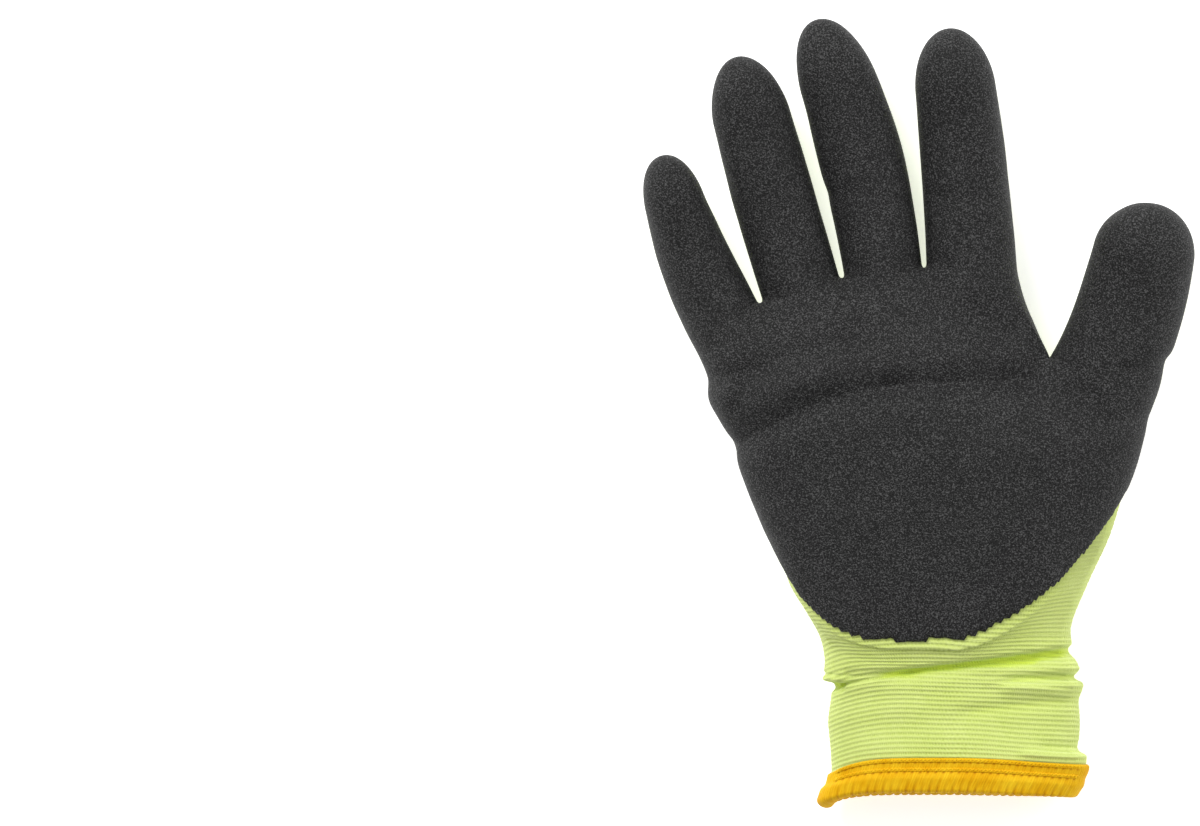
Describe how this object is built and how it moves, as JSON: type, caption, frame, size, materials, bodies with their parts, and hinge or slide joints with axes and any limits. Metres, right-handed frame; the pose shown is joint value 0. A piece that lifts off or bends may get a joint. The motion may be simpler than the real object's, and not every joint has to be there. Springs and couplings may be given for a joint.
{
  "type": "insulated work glove",
  "caption": "Knitted right-hand work glove lying palm up, hollow, with a sandy dipped coating on the palm and fingers, a folded elastic wrist and a bound cuff edge.",
  "frame": {"origin": "on the surface that the glove lies on, under the middle of the palm, at the flat back_rest mount", "axes": "+X towards the thumb, +Y from the cuff to the fingertips, +Z out of the palm, away from the surface"},
  "size_m": [0.1775, 0.254, 0.0357],
  "materials": {
    "knit": "bright yellow-green acrylic knit, matt, slightly fuzzy, in fine courses",
    "sandy_coating": "matt charcoal nitrile with a fine sandy grain",
    "binding_thread": "amber overlock thread, soft sheen, with chain stitch rows and a ribbed roll"
  },
  "bodies": {
    "root": {"knit_shell": "knit", "palm_coating": "sandy_coating", "cuff_binding": "binding_thread"}
  },
  "joints": []
}
